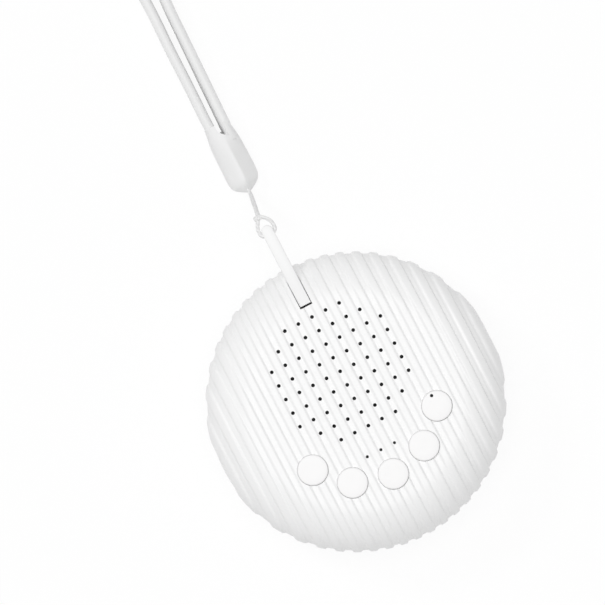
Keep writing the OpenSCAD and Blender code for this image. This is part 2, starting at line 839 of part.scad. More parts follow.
// Moulded end of the wrist strap: a blunt bullet with a soft ridge along its top
module strap_end() {
    stations = [0, 0.04, 0.12, 0.24, 0.42, 0.65, 0.8, 0.9, 1];
    widths = [0.2, 0.54, 0.79, 0.94, 1, 1, 0.94, 0.84, 0.74];
    steps = 5;
    slopes = [for (k = [0 : steps - 1]) 1 - k / steps];
    top = [for (s = slopes) [s, pow(1 - s, 0.55)]];
    section = concat(
        top,
        [for (k = [0 : steps - 1]) let (s = k / steps) [-s, pow(1 - s, 0.55)]],
        [for (s = slopes) [-s, -pow(1 - s, 0.55)]],
        [for (k = [0 : steps - 1]) let (s = k / steps) [s, -pow(1 - s, 0.55)]]
    );
    sides = len(section);
    points = [
        for (i = [0 : len(stations) - 1]) for (s = section)
            [
                end_x + s[0] * widths[i] * end_w / 2,
                end_start_y + stations[i] * end_l,
                strap_z + s[1] * min(1, widths[i] * 1.06 + 0.2 * stations[i]) * end_h / 2
            ]
    ];
    walls = [
        for (i = [0 : len(stations) - 2]) for (j = [0 : sides - 1])
            let (k = (j + 1) % sides)
            [i * sides + k, i * sides + j, (i + 1) * sides + j, (i + 1) * sides + k]
    ];
    first = [for (j = [0 : sides - 1]) j];
    last = [for (j = [sides - 1 : -1 : 0]) (len(stations) - 1) * sides + j];
    color("#f0f0f0") polyhedron(points, concat(walls, [first, last]), convexity = 4);
}

// Flat silicone band on its edge, looped back on itself
module wrist_band() {
    t = band_t / 2;
    w = band_w / 2;
    bevel = 0.7;
    section = [
        [t, w - bevel], [t - bevel, w], [bevel - t, w], [-t, w - bevel],
        [-t, bevel - w], [bevel - t, -w], [t - bevel, -w], [t, bevel - w]
    ];
    color("#f4f4f4") swept(smooth_route(band_route, 2), section, [0, 0, 1]);
}

front_shell();
rear_shell();
rubber_feet();
case_screws();
button(0);  // timer_button
button(1);  // volume_down_button
button(2);  // sound_button
button(3);  // volume_up_button
button(4);  // power_button
plunger(0);  // timer_plunger
plunger(1);  // volume_down_plunger
plunger(2);  // sound_plunger
plunger(3);  // volume_up_plunger
plunger(4);  // power_plunger
push_switches();
main_board();
board_screws();
status_leds();
led_shroud();
audio_chip();
amplifier_chip();
charge_chip();
capacitor();
battery_connector();
usb_c_socket();
battery();
battery_pad();
dust_cloth();
speaker_gasket();
speaker_frame();
speaker_surround();
speaker_cone();
speaker_dust_cap();
voice_coil();
speaker_top_plate();
speaker_magnet();
speaker_yoke();
speaker_screws();
speaker_washers();
strap_pin();
strap_tab();
lanyard_string();
string_knot();
strap_end();
wrist_band();
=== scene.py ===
import math

import bpy
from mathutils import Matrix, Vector


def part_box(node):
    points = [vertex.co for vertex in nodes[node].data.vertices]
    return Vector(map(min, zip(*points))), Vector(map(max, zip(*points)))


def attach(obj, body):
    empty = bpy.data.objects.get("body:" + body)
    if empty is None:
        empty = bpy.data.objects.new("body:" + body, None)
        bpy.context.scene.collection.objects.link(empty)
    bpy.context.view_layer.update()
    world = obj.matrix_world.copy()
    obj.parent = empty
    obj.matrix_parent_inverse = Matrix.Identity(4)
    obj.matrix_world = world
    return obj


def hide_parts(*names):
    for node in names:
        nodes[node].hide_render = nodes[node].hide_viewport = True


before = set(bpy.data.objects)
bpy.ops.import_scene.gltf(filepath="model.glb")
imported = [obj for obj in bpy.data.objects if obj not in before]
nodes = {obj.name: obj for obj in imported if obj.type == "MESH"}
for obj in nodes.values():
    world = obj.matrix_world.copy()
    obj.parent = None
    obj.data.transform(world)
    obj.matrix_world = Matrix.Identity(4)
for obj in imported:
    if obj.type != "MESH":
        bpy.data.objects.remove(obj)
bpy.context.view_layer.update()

MM = 0.001

# Camera. It looks straight down on the face from three metres with a long lens, turned so that the strap
# runs up and to the left across the frame.
face_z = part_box("power_button")[1].z
camera_height = 3.0
camera_turn = math.radians(-27.45)
aim_x = -0.45 * MM
aim_y = 29.6 * MM
frame_width = 0.1581
sensor = 36.0
camera_data = bpy.data.cameras.new("camera")
camera_data.sensor_width = sensor
camera_data.lens = sensor * camera_height / frame_width
camera_data.clip_start = 0.1
camera_data.clip_end = 60.0
camera = bpy.data.objects.new("camera", camera_data)
camera.location = (aim_x, aim_y, face_z + camera_height)
camera.rotation_euler = (0.0, 0.0, camera_turn)
bpy.context.scene.collection.objects.link(camera)
bpy.context.scene.camera = camera

# Body blank. The housing's outside before it is parted: a flat face that rolls over into the side wall, spun
# from its half section and scored along every edge of the ribs. The grooves then sink in, square to the
# surface.
body_r = 39.5 * MM
top_z = 32.0 * MM
back_z = 0.8 * MM
seam_z = 13.0 * MM
front_round = 12.0 * MM
back_round = 10.0 * MM
front_ring = (body_r - front_round, top_z - front_round)
back_ring = (body_r - back_round, back_z + back_round)
face_rings = (0.0, 9 * MM, 18 * MM)
side_ring_z = 17 * MM
back_ring_r = 15 * MM
body_steps = 192
rib_pitch = 4.0 * MM
rib_edge = -0.92 * MM
# Share of a pitch to the right of a rib's right edge, and how far below the crest the surface lies, in mm
rib_form = [
    (0.0, 0.08), (0.02, 0.2), (0.05, 0.37), (0.09, 0.49), (0.13, 0.52), (0.19, 0.5), (0.27, 0.48),
    (0.34, 0.505), (0.42, 0.505), (0.47, 0.42), (0.51, 0.22), (0.55, 0.07), (0.6, 0.01), (0.66, 0.0),
    (0.78, 0.0), (0.93, 0.0), (0.97, 0.02), (1.0, 0.08),
]
# Share of their depth that the grooves keep on the flat face, and how soon they fade out on the flat back
face_relief = 0.82
back_fade = 0.12
weld = 0.002 * MM


def nothing_selected():
    if bpy.context.object is not None and bpy.context.object.mode != "OBJECT":
        bpy.ops.object.mode_set(mode="OBJECT")
    bpy.ops.object.select_all(action="DESELECT")


def arc_points(ring, radius, start, end, steps):
    turns = [math.radians(start + (end - start) * k / steps) for k in range(steps + 1)]
    return [(ring[0] + radius * math.cos(a), ring[1] + radius * math.sin(a)) for a in turns]


def spun(name, outline, steps):
    nothing_selected()
    bpy.ops.mesh.primitive_plane_add(size=MM)
    piece = bpy.context.object
    piece.name = name
    bpy.ops.object.mode_set(mode="EDIT")
    bpy.ops.mesh.merge(type="CENTER")
    bpy.ops.transform.translate(value=(outline[0][0], 0.0, outline[0][1]))
    for (r0, z0), (r1, z1) in zip(outline, outline[1:]):
        bpy.ops.mesh.extrude_vertices_move(TRANSFORM_OT_translate={"value": (r1 - r0, 0.0, z1 - z0)})
    bpy.ops.mesh.select_all(action="SELECT")
    bpy.ops.mesh.spin(steps=steps, angle=2 * math.pi, center=(0, 0, 0), axis=(0, 0, 1))
    bpy.ops.mesh.select_all(action="SELECT")
    bpy.ops.mesh.remove_doubles(threshold=weld)
    bpy.ops.mesh.normals_make_consistent(inside=False)
    bpy.ops.object.mode_set(mode="OBJECT")
    return piece


def rib_depth(x):
    share = ((x - rib_edge) / rib_pitch) % 1.0
    for (u0, d0), (u1, d1) in zip(rib_form, rib_form[1:]):
        if share <= u1:
            return (d0 + (d1 - d0) * (share - u0) / (u1 - u0)) * MM
    return rib_form[-1][1] * MM


def outward(place):
    r = math.hypot(place.x, place.y)
    if place.z > front_ring[1]:
        ring = front_ring
    elif place.z < back_ring[1]:
        ring = back_ring
    else:
        return Vector((place.x / r, place.y / r, 0.0))
    if r <= ring[0]:
        return Vector((0.0, 0.0, 1.0 if place.z > front_ring[1] else -1.0))
    rise = Vector((r - ring[0], place.z - ring[1])).normalized()
    return Vector((place.x / r * rise.x, place.y / r * rise.x, rise.y))


body_outline = [(r, top_z) for r in face_rings]
body_outline += arc_points(front_ring, front_round, 90, 0, 20)
body_outline += [(body_r, side_ring_z), (body_r, seam_z)]
body_outline += arc_points(back_ring, back_round, 0, -90, 16)
body_outline += [(back_ring_r, back_z), (0.0, back_z)]
blank = spun("body_blank", body_outline, body_steps)
bpy.ops.object.mode_set(mode="EDIT")
rib_count = math.ceil(body_r / rib_pitch)
for rib in range(-rib_count, rib_count + 2):
    for share, depth in rib_form[:-1]:
        x = rib_edge + (rib + share) * rib_pitch
        if abs(x) < body_r:
            bpy.ops.mesh.select_all(action="SELECT")
            bpy.ops.mesh.bisect(plane_co=(x, 0, 0), plane_no=(1, 0, 0))
bpy.ops.mesh.select_all(action="SELECT")
bpy.ops.mesh.remove_doubles(threshold=2 * weld)
bpy.ops.object.mode_set(mode="OBJECT")
for vertex in blank.data.vertices:
    normal = outward(vertex.co)
    fade = min(1.0, max(0.0, (normal.z + 1.0) / back_fade))
    relief = 1.0 - (1.0 - face_relief) * max(0.0, normal.z) ** 4
    vertex.co -= normal * rib_depth(vertex.co.x) * fade * relief
blank.data.update()

# Front shell. Injection-moulded white ABS: the blank above the seam, closed flat and hollowed. Inside stand
# posts for the case screws, bosses for the board and the speaker, and a collar round the speaker.
seam_gap = 0.12 * MM
wall = 2.5 * MM
ceiling_z = top_z - wall
speaker_y = 9.1 * MM
post_r = 3.2 * MM
post_ring = 27.0 * MM
boss_r = 2.2 * MM
board_boss_ring = 29.1 * MM
bore_r = 18.3 * MM
collar_t = 1.2 * MM
collar_low = ceiling_z - 2.1 * MM
collar_top = ceiling_z + 0.2 * MM
pillar_top = ceiling_z + 0.6 * MM
board_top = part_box("main_board")[1].z
case_hole_r = 1.36 * MM
case_hole_depth = 13.0 * MM
small_hole_r = 1.06 * MM
board_hole_depth = 6.0 * MM
speaker_hole_depth = 2.0 * MM


def pick(piece):
    nothing_selected()
    piece.select_set(True)
    bpy.context.view_layer.objects.active = piece


def half_of(source, name, height, keep_above):
    piece = source.copy()
    piece.data = source.data.copy()
    piece.name = name
    bpy.context.scene.collection.objects.link(piece)
    pick(piece)
    bpy.ops.object.mode_set(mode="EDIT")
    bpy.ops.mesh.select_all(action="SELECT")
    bpy.ops.mesh.bisect(plane_co=(0, 0, height), plane_no=(0, 0, 1), use_fill=True,
                        clear_inner=keep_above, clear_outer=not keep_above)
    bpy.ops.mesh.select_all(action="SELECT")
    bpy.ops.mesh.normals_make_consistent(inside=False)
    bpy.ops.object.mode_set(mode="OBJECT")
    return piece


def apply_all(piece):
    pick(piece)
    bpy.ops.object.transform_apply(location=True, rotation=True, scale=True)
    return piece


def joined(pieces):
    nothing_selected()
    for piece in pieces:
        piece.select_set(True)
    bpy.context.view_layer.objects.active = pieces[0]
    bpy.ops.object.join()
    return bpy.context.object


def cut_with(piece, cutter, operation="DIFFERENCE"):
    pick(piece)
    bpy.ops.object.modifier_add(type="BOOLEAN")
    modifier = piece.modifiers[-1]
    modifier.operation = operation
    modifier.solver = "EXACT"
    modifier.object = cutter
    bpy.ops.object.modifier_apply(modifier=modifier.name)
    bpy.data.objects.remove(cutter)


def rod(radius, low, high, place, sides):
    nothing_selected()
    bpy.ops.mesh.primitive_cylinder_add(vertices=sides, radius=radius, depth=high - low,
                                        location=(place[0], place[1], (low + high) / 2))
    return apply_all(bpy.context.object)


def block(low, high):
    nothing_selected()
    centre = [(a + b) / 2 for a, b in zip(low, high)]
    bpy.ops.mesh.primitive_cube_add(size=1.0, location=centre)
    bpy.context.object.scale = [b - a for a, b in zip(low, high)]
    return apply_all(bpy.context.object)


def turned(name, outline, places, steps):
    parts = []
    for place in places:
        part = spun(name, outline, steps)
        part.location = (place[0], place[1], 0.0)
        parts.append(apply_all(part))
    return joined(parts) if len(parts) > 1 else parts[0]


def around(ring, angles, centre_y=0.0):
    return [(ring * math.cos(math.radians(a)), centre_y + ring * math.sin(math.radians(a))) for a in angles]


front = half_of(blank, "front_shell_moulding", seam_z + seam_gap, True)
inner_outline = [(0.0, top_z - wall)] + arc_points(front_ring, front_round - wall, 90, 0, 12)
inner_outline += [(body_r - wall, seam_z - MM), (0.0, seam_z - MM)]
cut_with(front, spun("front_hollow", inner_outline, 96))

post_places = around(post_ring, (45, 135, 225, 315))
board_boss_places = around(board_boss_ring, (199, 255, 285, 341))
speaker_boss_places = around(bore_r + boss_r, (0, 180, 215, 325), speaker_y)
pillars = [rod(post_r, seam_z + seam_gap, pillar_top, place, 48) for place in post_places]
pillars += [rod(boss_r, board_top, pillar_top, place, 32) for place in board_boss_places]
pillars += [rod(boss_r, collar_low, pillar_top, place, 32) for place in speaker_boss_places]
cut_with(front, joined(pillars), "UNION")
collar_outline = [(bore_r, collar_low), (bore_r + collar_t, collar_low), (bore_r + collar_t, collar_top),
                  (bore_r, collar_top), (bore_r, collar_low)]
cut_with(front, turned("speaker_collar", collar_outline, [(0.0, speaker_y)], 96), "UNION")
screw_holes = [rod(case_hole_r, seam_z - MM, seam_z + case_hole_depth, place, 32) for place in post_places]
screw_holes += [rod(small_hole_r, board_top - MM, board_top + board_hole_depth, place, 24)
                for place in board_boss_places]
screw_holes += [rod(small_hole_r, collar_low - MM, collar_low + speaker_hole_depth, place, 24)
                for place in speaker_boss_places]
cut_with(front, joined(screw_holes))

# Openings of the face: the grid of sound holes, three light holes and the wells of five buttons
hole_pitch = 4.0 * MM
hole_r = 0.5 * MM
grille_rows = [2, 3, 4, 4, 4, 4, 4, 3, 2]
light_y = -14.0 * MM
light_r = 0.42 * MM
button_names = ("timer", "volume_down", "sound", "volume_up", "power")
button_ring = 21.1 * MM
button_places = around(button_ring, [210 + 30 * k for k in range(5)])
well_r = 4.12 * MM
cutters = []
for row, reach in enumerate(grille_rows):
    for column in range(-reach, reach + 1):
        place = (column * hole_pitch, speaker_y + (row - 4) * hole_pitch)
        cutters.append(rod(hole_r, ceiling_z - MM, top_z + MM, place, 16))
for k in (-1, 0, 1):
    cutters.append(rod(light_r, ceiling_z - MM, top_z + MM, (k * hole_pitch, light_y), 16))
for place in button_places:
    cutters.append(rod(well_r, ceiling_z - MM, top_z + MM, place, 64))
cut_with(front, joined(cutters))

# Slot for the strap tab, with a lining that closes it against the inside and a relief at its inner end
slot_half = 1.73 * MM
slot_y = 28.2 * MM
slot_end_y = 45 * MM
slot_floor = 27.6 * MM
relief_length = 0.6 * MM
relief_depth = 3 * MM
skin = 2.1 * MM
lining_half = 4.3 * MM
lining_y = slot_y - 0.7 * MM
lining_end_y = 35.6 * MM
lining_low = slot_floor - 1.4 * MM
lining_high = 30.2 * MM
lining = block((-lining_half, lining_y, lining_low), (lining_half, lining_end_y, lining_high))
trim_outline = [(0.0, top_z - skin)] + arc_points(front_ring, front_round - skin, 90, 0, 12)
trim_outline += [(body_r - skin, seam_z), (0.0, seam_z)]
cut_with(lining, spun("lining_trim", trim_outline, 96), "INTERSECT")
cut_with(front, lining, "UNION")
cut_with(front, block((-slot_half, slot_y, slot_floor), (slot_half, slot_end_y, top_z + MM)))
cut_with(front, block((-slot_half, slot_y, slot_floor - relief_depth),
                      (slot_half, slot_y + relief_length, slot_floor + MM)))

# Window for the charging plug, with rounded ends
socket_low, socket_high = [corner.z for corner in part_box("usb_c_socket")]
socket_z = socket_low + (socket_high - socket_low) / 2
window_half = 2.84 * MM
window_r = 2.03 * MM
window_reach = 3 * MM
window = block((-window_half, -body_r - window_reach, socket_z - window_r),
               (window_half, -body_r + window_reach, socket_z + window_r))
for x in (-window_half, window_half):
    nothing_selected()
    bpy.ops.mesh.primitive_cylinder_add(vertices=48, radius=window_r, depth=2 * window_reach,
                                        location=(x, -body_r, socket_z), rotation=(math.pi / 2, 0, 0))
    cut_with(window, apply_all(bpy.context.object), "UNION")
cut_with(front, window)


# Shader arithmetic. A socket is wrapped so that + and * work on it, and any other node comes from node().
class Shade:
    def __init__(self, tree, socket):
        self.tree = tree
        self.socket = socket

    # A socket is given by its name, with _ for a space, or by the letter i and its number
    def node(self, kind, settings=None, out=0, **inputs):
        made = self.tree.nodes.new(kind)
        for name, value in (settings or {}).items():
            setattr(made, name, value)
        for name, value in inputs.items():
            key = int(name[1:]) if name[0] == "i" and name[1:].isdigit() else name.replace("_", " ")
            socket = made.inputs[key]
            if isinstance(value, Shade):
                self.tree.links.new(value.socket, socket)
            else:
                socket.default_value = value
        return Shade(self.tree, made.outputs[out])

    def math(self, operation, first, second):
        return self.node("ShaderNodeMath", {"operation": operation}, i0=first, i1=second)

    def __add__(self, other):
        return self.math("ADD", self, other)

    def __radd__(self, other):
        return self.math("ADD", other, self)

    def __mul__(self, other):
        return self.math("MULTIPLY", self, other)

    def __rmul__(self, other):
        return self.math("MULTIPLY", other, self)

    # Sockets 6 and 7 and output 2 are a Mix node's colours
    def mix(self, low, high):
        return self.node("ShaderNodeMix", {"data_type": "RGBA"}, 2, i0=self, i6=low, i7=high)


def start_material(name, **sockets):
    material = bpy.data.materials.new(name)
    material.use_nodes = True
    tree = material.node_tree
    shader = tree.nodes["Principled BSDF"]
    for key, value in sockets.items():
        shader.inputs[key.replace("_", " ")].default_value = value
    place = Shade(tree, tree.nodes.new("ShaderNodeTexCoord").outputs["Object"])
    return material, shader, place


def feed(shader, name, value):
    value.tree.links.new(value.socket, shader.inputs[name])


def noise(place, size, detail=3.0):
    return place.node("ShaderNodeTexNoise", Vector=place, Scale=1.0 / size, Detail=detail)


def bump(height, depth, strength):
    return height.node("ShaderNodeBump", Height=height, Distance=depth, Strength=strength)


def darkened(colour, share):
    return tuple(c * share for c in colour[:3]) + (1.0,)


def dress(obj, material):
    obj.data.materials.clear()
    obj.data.materials.append(material)


def smooth(piece, angle):
    pick(piece)
    bpy.ops.object.shade_smooth_by_angle(angle=math.radians(angle))


# Moulded ABS: off-white, satin, with a very fine spark-eroded grain and faint cloudiness in the moulding
def moulded_abs(name, colour, rough=0.42):
    material, shader, place = start_material(name, Roughness=rough)
    cloud = noise(place, 14 * MM)
    grain = noise(place, 0.16 * MM, 2.0)
    feed(shader, "Base Color", cloud.mix(darkened(colour, 0.975), colour))
    feed(shader, "Roughness", (rough - 0.05) + cloud * 0.06 + grain * 0.06)
    feed(shader, "Normal", bump(grain, 0.012 * MM, 0.4))
    return material


housing_white = moulded_abs("housing_white", (0.93, 0.93, 0.93, 1.0))
dress(front, housing_white)
smooth(front, 35)
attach(front, "housing")
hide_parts("front_shell")

# Buttons. Five loose white ABS caps; each has a flange that holds it under the face, a stem down to its
# switch and a rounded upper rim. The power cap has a small hole that its light shows through.
cap_r = 4.06 * MM
cap_edge = 0.35 * MM
# Each cap lies a hair towards the strap in its well
cap_play = (-0.01 * MM, 0.03 * MM)
flange_r = 5.0 * MM
stem_r = 1.6 * MM
cap_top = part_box("power_button")[1].z
stem_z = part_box("power_button")[0].z
flange_top = top_z - 2.8 * MM
flange_low = flange_top - 0.8 * MM
cap_hole_r = 0.45 * MM
cap_hole_y = 3 * MM
cap_outline = [(0.0, stem_z), (stem_r, stem_z), (stem_r, flange_low), (flange_r, flange_low),
               (flange_r, flange_top), (cap_r, flange_top)]
cap_outline += arc_points((cap_r - cap_edge, cap_top - cap_edge), cap_edge, 0, 90, 6)
cap_outline += [(cap_r * 0.5, cap_top), (0.0, cap_top)]
cap_white = moulded_abs("cap_white", (0.9, 0.895, 0.895, 1.0), 0.38)
for name, (x, y) in zip(button_names, button_places):
    cap = turned(name + "_cap", cap_outline, [(x + cap_play[0], y + cap_play[1])], 96)
    if name == "power":
        cut_with(cap, rod(cap_hole_r, flange_low - MM, cap_top + MM, (x, y + cap_hole_y), 24))
    dress(cap, cap_white)
    smooth(cap, 35)
    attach(cap, name + "_key")
    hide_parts(name + "_button")


# Speaker. A moulded basket with a paper cone and dust cap in a rubber roll surround, a copper coil, iron
# plates and a ferrite ring magnet. It sits on a foam gasket behind a woven black dust cloth, held by four
# zinc-plated screws with washers.
def metal(name, colour, rough, scratch=0.1):
    material, shader, place = start_material(name, Metallic=1.0, Roughness=rough)
    smudge = noise(place, 1.5 * MM)
    lines = noise(place, 0.08 * MM, 2.0)
    feed(shader, "Base Color", smudge.mix(darkened(colour, 0.82), colour))
    feed(shader, "Roughness", (rough - 0.06) + smudge * 0.1 + lines * scratch)
    feed(shader, "Normal", bump(lines, 0.006 * MM, 0.4))
    return material


def rubber(name, colour):
    material, shader, place = start_material(name, Roughness=0.75, Specular_IOR_Level=0.35)
    dust = noise(place, 0.5 * MM)
    grain = noise(place, 0.1 * MM, 2.0)
    feed(shader, "Base Color", dust.mix(darkened(colour, 0.88), colour))
    feed(shader, "Roughness", 0.68 + dust * 0.15)
    feed(shader, "Normal", bump(grain, 0.02 * MM, 0.6))
    return material


def paper(name, colour):
    material, shader, place = start_material(name, Roughness=0.9, Specular_IOR_Level=0.3)
    fibre = noise(place, 0.4 * MM, 5.0)
    feed(shader, "Base Color", fibre.mix(darkened(colour, 0.7), colour))
    feed(shader, "Roughness", 0.82 + fibre * 0.14)
    feed(shader, "Normal", bump(fibre, 0.05 * MM, 0.7))
    return material


def foam(name, colour):
    material, shader, place = start_material(name, Roughness=0.95, Specular_IOR_Level=0.2)
    cells = place.node("ShaderNodeTexVoronoi", Vector=place, Scale=1.0 / (0.35 * MM))
    feed(shader, "Base Color", cells.mix(colour, darkened(colour, 0.45)))
    feed(shader, "Roughness", 0.88 + cells * 0.1)
    feed(shader, "Normal", bump(cells, 0.15 * MM, 0.8))
    return material


def woven(name, colour, pitch):
    material, shader, place = start_material(name, Roughness=0.85, Sheen_Weight=0.2, Sheen_Roughness=0.6)
    across = place.node("ShaderNodeTexWave", {"bands_direction": "X"}, Vector=place, Scale=0.31 / pitch)
    along = place.node("ShaderNodeTexWave", {"bands_direction": "Y"}, Vector=place, Scale=0.31 / pitch)
    weave = across * along
    feed(shader, "Base Color", weave.mix(darkened(colour, 0.3), colour))
    feed(shader, "Roughness", 0.8 + noise(place, pitch, 2.0) * 0.15)
    feed(shader, "Normal", bump(weave, 0.1 * MM, 0.8))
    return material


thread_pitch = 0.3 * MM
dress(nodes["dust_cloth"], woven("dust_cloth_black", (0.03, 0.03, 0.03, 1.0), thread_pitch))
black_foam = foam("black_foam", (0.04, 0.04, 0.042, 1.0))
dress(nodes["speaker_gasket"], black_foam)
black_plastic = moulded_abs("black_plastic", (0.02, 0.02, 0.022, 1.0), 0.45)
dress(nodes["speaker_frame"], black_plastic)
dress(nodes["speaker_surround"], rubber("surround_rubber", (0.03, 0.03, 0.03, 1.0)))
cone_paper = paper("cone_paper", (0.09, 0.09, 0.095, 1.0))
for name in ("speaker_cone", "speaker_dust_cap"):
    dress(nodes[name], cone_paper)
dress(nodes["voice_coil"], metal("coil_copper", (0.7, 0.33, 0.18, 1.0), 0.35, 0.2))
iron = metal("speaker_iron", (0.45, 0.46, 0.48, 1.0), 0.4, 0.2)
for name in ("speaker_top_plate", "speaker_yoke"):
    dress(nodes[name], iron)
dress(nodes["speaker_magnet"], paper("magnet_ferrite", (0.035, 0.035, 0.037, 1.0)))
zinc = metal("zinc_plate", (0.62, 0.63, 0.64, 1.0), 0.32)
for name in ("speaker_screws", "speaker_washers"):
    dress(nodes[name], zinc)


# Circuit board. Green solder mask over glass-fibre weave and copper tracks, with black chips, switches and
# shroud, smoked lights, an ivory connector, a bright capacitor and a nickel-plated charging socket. Three
# screws hold it to its bosses, and a plunger stands between each cap and its switch.
def solder_mask():
    material, shader, place = start_material("board_green", Roughness=0.35, Coat_Weight=0.2)
    tracks = place.node("ShaderNodeTexBrick", {"offset": 0.37}, Vector=place, Scale=1.0 / (3.1 * MM),
                        Mortar_Size=0.06, Color1=(0, 0, 0, 1), Color2=(0, 0, 0, 1), Mortar=(1, 1, 1, 1))
    weave = place.node("ShaderNodeTexChecker", Vector=place, Scale=1.0 / (0.35 * MM))
    feed(shader, "Base Color", tracks.mix((0.012, 0.11, 0.045, 1.0), (0.03, 0.2, 0.08, 1.0)))
    feed(shader, "Roughness", 0.3 + noise(place, 2 * MM) * 0.15)
    feed(shader, "Normal", bump(weave, 0.01 * MM, 0.3))
    return material


dress(nodes["main_board"], solder_mask())
dress(nodes["board_screws"], zinc)
for name in ("push_switches", "led_shroud", "audio_chip", "amplifier_chip", "charge_chip"):
    dress(nodes[name], black_plastic)
for name in button_names:
    dress(nodes[name + "_plunger"], black_plastic)
dress(nodes["status_leds"], moulded_abs("smoked_lens", (0.05, 0.05, 0.047, 1.0), 0.25))
dress(nodes["battery_connector"], moulded_abs("ivory_plastic", (0.75, 0.7, 0.56, 1.0), 0.45))
dress(nodes["capacitor"], metal("capacitor_can", (0.7, 0.71, 0.72, 1.0), 0.3))
dress(nodes["usb_c_socket"], metal("socket_nickel", (0.58, 0.57, 0.54, 1.0), 0.28))


# Battery. A lithium pouch in crinkled aluminium foil, stuck down on a strip of black foam.
# It lies flat in the rear shell.
def pouch_foil():
    material, shader, place = start_material("pouch_foil", Metallic=0.85, Roughness=0.35)
    crease = place.node("ShaderNodeTexVoronoi", {"feature": "DISTANCE_TO_EDGE"}, Vector=place,
                        Scale=1.0 / (5 * MM))
    feed(shader, "Base Color", noise(place, 3 * MM).mix((0.5, 0.51, 0.53, 1.0), (0.62, 0.63, 0.65, 1.0)))
    feed(shader, "Roughness", 0.28 + noise(place, 1.2 * MM) * 0.2)
    feed(shader, "Normal", bump(crease, 0.25 * MM, 0.5))
    return material


dress(nodes["battery"], pouch_foil())
dress(nodes["battery_pad"], black_foam)

# Rear shell. The blank below the seam, of the same ABS, hollowed, with a lip that locates it in the front
# shell, four hollow posts for the zinc-plated case screws and four shallow pockets for the feet.
back_wall_z = back_z + wall
seat_z = back_z + 3.4 * MM
seat_r = 2.5 * MM
post_low = back_z + 2 * MM
post_high = seam_z - 0.1 * MM
lip_r = body_r - wall - 0.12 * MM
lip_t = MM
lip_rise = 1.6 * MM
root_r = lip_r + 0.3 * MM
root_z = seam_z - 0.2 * MM
foot_ring = 23.0 * MM
pocket_r = 5.15 * MM
pocket_depth = 0.8 * MM
rear = half_of(blank, "rear_shell_moulding", seam_z - seam_gap, False)
bpy.data.objects.remove(blank)
hollow = [(0.0, seam_z + MM), (body_r - wall, seam_z + MM)]
hollow += arc_points(back_ring, back_round - wall, 0, -90, 12) + [(0.0, back_wall_z)]
cut_with(rear, spun("rear_hollow", hollow, 96))
lip_outline = [(root_r, seam_z - lip_rise), (root_r, root_z), (lip_r, root_z), (lip_r, seam_z + lip_rise),
               (lip_r - lip_t, seam_z + lip_rise), (lip_r - lip_t, seam_z - lip_rise),
               (root_r, seam_z - lip_rise)]
cut_with(rear, spun("rear_lip", lip_outline, 96), "UNION")
cut_with(rear, joined([rod(post_r, post_low, post_high, place, 48) for place in post_places]), "UNION")
foot_places = [(foot_ring, 0.0), (0.0, foot_ring), (-foot_ring, 0.0), (0.0, -foot_ring)]
cutters = [rod(seat_r, back_z - MM, seat_z, place, 48) for place in post_places]
cutters += [rod(pocket_r, back_z - MM, back_z + pocket_depth, place, 64) for place in foot_places]
cut_with(rear, joined(cutters))
cut_with(rear, joined([rod(case_hole_r, seat_z - MM, seam_z + MM, place, 32) for place in post_places]))
dress(rear, housing_white)
smooth(rear, 35)
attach(rear, "housing")
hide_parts("rear_shell")
dress(nodes["case_screws"], zinc)

# Rubber feet. Four discs of grey-white thermoplastic rubber with a rounded lower edge, stuck into the rear
# shell's pockets.
foot_r = 5.0 * MM
foot_edge = 0.4 * MM
foot_height = 1.6 * MM
foot_outline = [(0.0, 0.0)] + arc_points((foot_r - foot_edge, foot_edge), foot_edge, -90, 0, 5)
foot_outline += [(foot_r, foot_height), (0.0, foot_height)]
feet = turned("rubber_feet_pads", foot_outline, foot_places, 64)
dress(feet, rubber("foot_rubber", (0.62, 0.62, 0.6, 1.0)))
smooth(feet, 40)
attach(feet, "housing")
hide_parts("rubber_feet")

# Strap tab. A flat white bar of moulded nylon. One end turns in the slot on a blackened steel pin, and the
# lanyard string runs through a cross hole at its rounded outer end.
tab_half = 1.57 * MM
tab_half_t = 1.2 * MM
tab_edge = 0.2 * MM
pin_y = 30.1 * MM
pin_z = 29.5 * MM
pin_hole_r = 0.81 * MM
eye_reach = 1.42 * MM
string_eye_y = 49.4 * MM
string_eye_r = 0.56 * MM
tip_y = 50.4 * MM


def cross_rod(radius, half, y, z, sides):
    nothing_selected()
    bpy.ops.mesh.primitive_cylinder_add(vertices=sides, radius=radius, depth=2 * half, location=(0.0, y, z),
                                        rotation=(0.0, math.pi / 2, 0.0))
    return apply_all(bpy.context.object)


def rounded(piece, width, segments, angle):
    pick(piece)
    bpy.ops.object.modifier_add(type="BEVEL")
    modifier = piece.modifiers[-1]
    modifier.width = width
    modifier.segments = segments
    modifier.limit_method = "ANGLE"
    modifier.angle_limit = math.radians(angle)
    bpy.ops.object.modifier_apply(modifier=modifier.name)


tab = block((-tab_half, pin_y - eye_reach, pin_z - tab_half_t), (tab_half, tip_y, pin_z + tab_half_t))
tab.name = "strap_tab_moulding"
cut_with(tab, rod(tab_half, pin_z - tab_half_t, pin_z + tab_half_t, (0.0, tip_y), 48), "UNION")
pick(tab)
bpy.ops.object.mode_set(mode="EDIT")
bpy.ops.mesh.select_all(action="SELECT")
bpy.ops.mesh.remove_doubles(threshold=5 * weld)
bpy.ops.mesh.dissolve_limited(angle_limit=math.radians(2.0))
bpy.ops.object.mode_set(mode="OBJECT")
rounded(tab, tab_edge, 3, 40)
cut_with(tab, cross_rod(pin_hole_r, 3 * tab_half, pin_y, pin_z, 48))
cut_with(tab, cross_rod(string_eye_r, 3 * tab_half, string_eye_y, pin_z, 32))
dress(tab, moulded_abs("tab_nylon", (0.9, 0.9, 0.9, 1.0), 0.4))
smooth(tab, 35)
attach(tab, "strap")
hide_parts("strap_tab")
dress(nodes["strap_pin"], metal("pin_blackened", (0.06, 0.06, 0.065, 1.0), 0.45))

